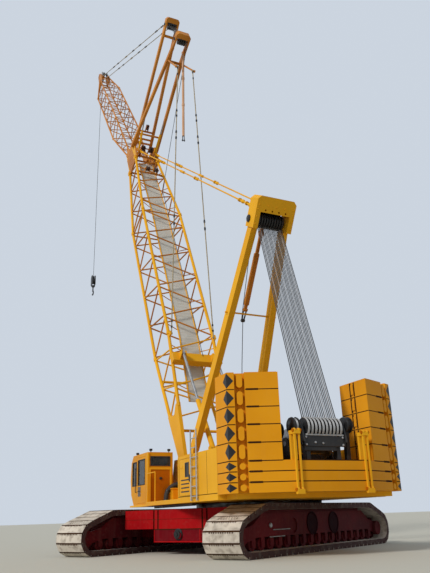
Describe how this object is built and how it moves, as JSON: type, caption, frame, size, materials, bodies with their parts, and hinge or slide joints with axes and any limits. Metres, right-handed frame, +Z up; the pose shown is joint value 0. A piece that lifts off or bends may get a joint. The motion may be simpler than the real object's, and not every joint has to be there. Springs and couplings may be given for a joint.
{
  "type": "lattice boom crawler crane with luffing jib",
  "caption": "Tracked crane with a lattice main boom and luffing jib, rear A-frame with luffing ropes and stacked counterweights.",
  "frame": {"origin": "the slewing axis, at ground level", "axes": "+Y forward for the upper works, under the boom; +X to its right; +Z up"},
  "size_m": [11.5824, 28.3643, 36.0203],
  "materials": {
    "black": "satin paint",
    "dark_yellow": "gloss paint",
    "glass": "tinted",
    "maroon": "dusty paint",
    "red": "gloss paint",
    "seat": "matt",
    "shoe": "dusty cast steel",
    "steel": "worn",
    "yellow": "gloss paint",
    "zinc": "galvanised"
  },
  "bodies": {
    "undercarriage": {"track_left": "shoe", "track_right": "shoe", "track_frames": "maroon", "rollers": "maroon", "carbody": "red", "ballast": "red", "slew_ring": "steel"},
    "upper": {"main_frame": "yellow", "deck": "yellow", "houses": "yellow", "engine": "black", "cab_shell": "dark_yellow", "cab_glass": "glass", "cab_seat": "seat", "access": "zinc", "tail_plates": "yellow", "side_stacks": "yellow", "tie_straps": "yellow", "rope_block": "black", "luff_ropes": "steel"},
    "door_left": {"door_left": "yellow"},
    "door_right": {"door_right": "yellow"},
    "cab_door": {"cab_door": "dark_yellow"},
    "luff_drum": {"luff_drum": "steel"},
    "hoist_drums": {"hoist_drums": "steel"},
    "a_frame": {"a_frame": "yellow", "a_head": "yellow"},
    "main_pendants": {"main_pendants": "yellow"},
    "boom": {"boom_foot": "yellow", "boom_lattice": "yellow", "boom_head": "yellow", "boom_walkway": "zinc", "strut_rear": "yellow", "strut_stays": "steel"},
    "backstop_tubes": {"backstop_tubes": "yellow"},
    "backstop_rods": {"backstop_rods": "steel"},
    "jib": {"jib_butt": "yellow", "jib_lattice": "yellow", "jib_head": "dark_yellow"},
    "strut_front": {"strut_front": "yellow"},
    "jib_pendants": {"jib_pendants": "yellow"},
    "tip_sheave": {"tip_sheave": "black"},
    "hoist_line": {"hoist_rope": "black", "hook_block": "black"},
    "hook": {"hook": "black"}
  },
  "joints": [
    {"name": "slew", "type": "hinge", "parent": "undercarriage", "child": "upper", "pos_m": [0, 0, 1.39], "axis": [0, 0, 1], "continuous": true},
    {"name": "boom_luff", "type": "hinge", "parent": "upper", "child": "boom", "pos_m": [0, 1.8, 2.9], "axis": [1, 0, 0], "range_deg": [-18, 20], "deforming": ["luff_ropes"]},
    {"name": "a_frame_lean", "type": "hinge", "parent": "upper", "child": "a_frame", "pos_m": [0, 0.76, 3], "axis": [1, 0, 0], "range_deg": [-19.61, 21.79]},
    {"name": "pendant_swing", "type": "hinge", "parent": "boom", "child": "main_pendants", "pos_m": [0, 9.57186, 21.29619], "axis": [1, 0, 0], "range_deg": [-1.05, 0.95]},
    {"name": "backstop_swing", "type": "hinge", "parent": "upper", "child": "backstop_tubes", "pos_m": [0, -0.1, 3.3], "axis": [1, 0, 0], "range_deg": [-15.79, 17.55]},
    {"name": "backstop_slide", "type": "slide", "parent": "backstop_tubes", "child": "backstop_rods", "axis": [0, 0.5468, 0.8373], "range_m": [-0.644, 0.5806]},
    {"name": "jib_luff", "type": "hinge", "parent": "boom", "child": "jib", "pos_m": [0, 11.3498, 21.89954], "axis": [1, 0, 0], "range_deg": [-30, 8]},
    {"name": "strut_swing", "type": "hinge", "parent": "boom", "child": "strut_front", "pos_m": [0, 10.63801, 22.17257], "axis": [1, 0, 0], "range_deg": [-32.23, 8.6]},
    {"name": "jib_pendant_swing", "type": "hinge", "parent": "jib", "child": "jib_pendants", "pos_m": [0, 20.41626, 34.96836], "axis": [1, 0, 0], "range_deg": [-0.25, 0.92]},
    {"name": "tip_sheave_turn", "type": "hinge", "parent": "jib", "child": "tip_sheave", "pos_m": [0, 21.41403, 35.60032], "axis": [1, 0, 0], "range_deg": [-20.21, 18.19]},
    {"name": "hoist_line_hang", "type": "hinge", "parent": "tip_sheave", "child": "hoist_line", "pos_m": [0, 21.41403, 35.60032], "axis": [1, 0, 0], "range_deg": [-8.09, 30.31]},
    {"name": "hook_swivel", "type": "hinge", "parent": "hoist_line", "child": "hook", "pos_m": [0, 21.84933, 17.10032], "axis": [0, 0, 1], "continuous": true},
    {"name": "cab_door", "type": "hinge", "parent": "upper", "child": "cab_door", "pos_m": [-2.5375, 1.8085, 2.4], "axis": [0, 0, 1], "range_deg": [0, 90]},
    {"name": "door_left", "type": "hinge", "parent": "upper", "child": "door_left", "pos_m": [-2.75, -2.06, 2.2], "axis": [0, 0, -1], "range_deg": [0, 100]},
    {"name": "door_right", "type": "hinge", "parent": "upper", "child": "door_right", "pos_m": [2.75, 0.74, 2.2], "axis": [0, 0, 1], "range_deg": [0, 100]},
    {"name": "luff_drum", "type": "hinge", "parent": "upper", "child": "luff_drum", "pos_m": [0, -4.95, 2.95], "axis": [1, 0, 0], "continuous": true},
    {"name": "hoist_drums", "type": "hinge", "parent": "upper", "child": "hoist_drums", "pos_m": [0, -1.3, 2.35], "axis": [1, 0, 0], "continuous": true}
  ],
  "couplings": [
    {"joint": "a_frame_lean", "follows": "boom_luff", "ratio": 1.0782},
    {"joint": "pendant_swing", "follows": "boom_luff", "ratio": -0.0516},
    {"joint": "backstop_swing", "follows": "boom_luff", "ratio": 0.8682},
    {"joint": "backstop_slide", "follows": "boom_luff", "m_per_rad": -1.7983},
    {"joint": "strut_swing", "follows": "jib_luff", "ratio": 1.0633},
    {"joint": "jib_pendant_swing", "follows": "jib_luff", "ratio": -0.03},
    {"joint": "tip_sheave_turn", "follows": "boom_luff", "ratio": -1},
    {"joint": "hoist_line_hang", "follows": "jib_luff", "ratio": -1}
  ]
}
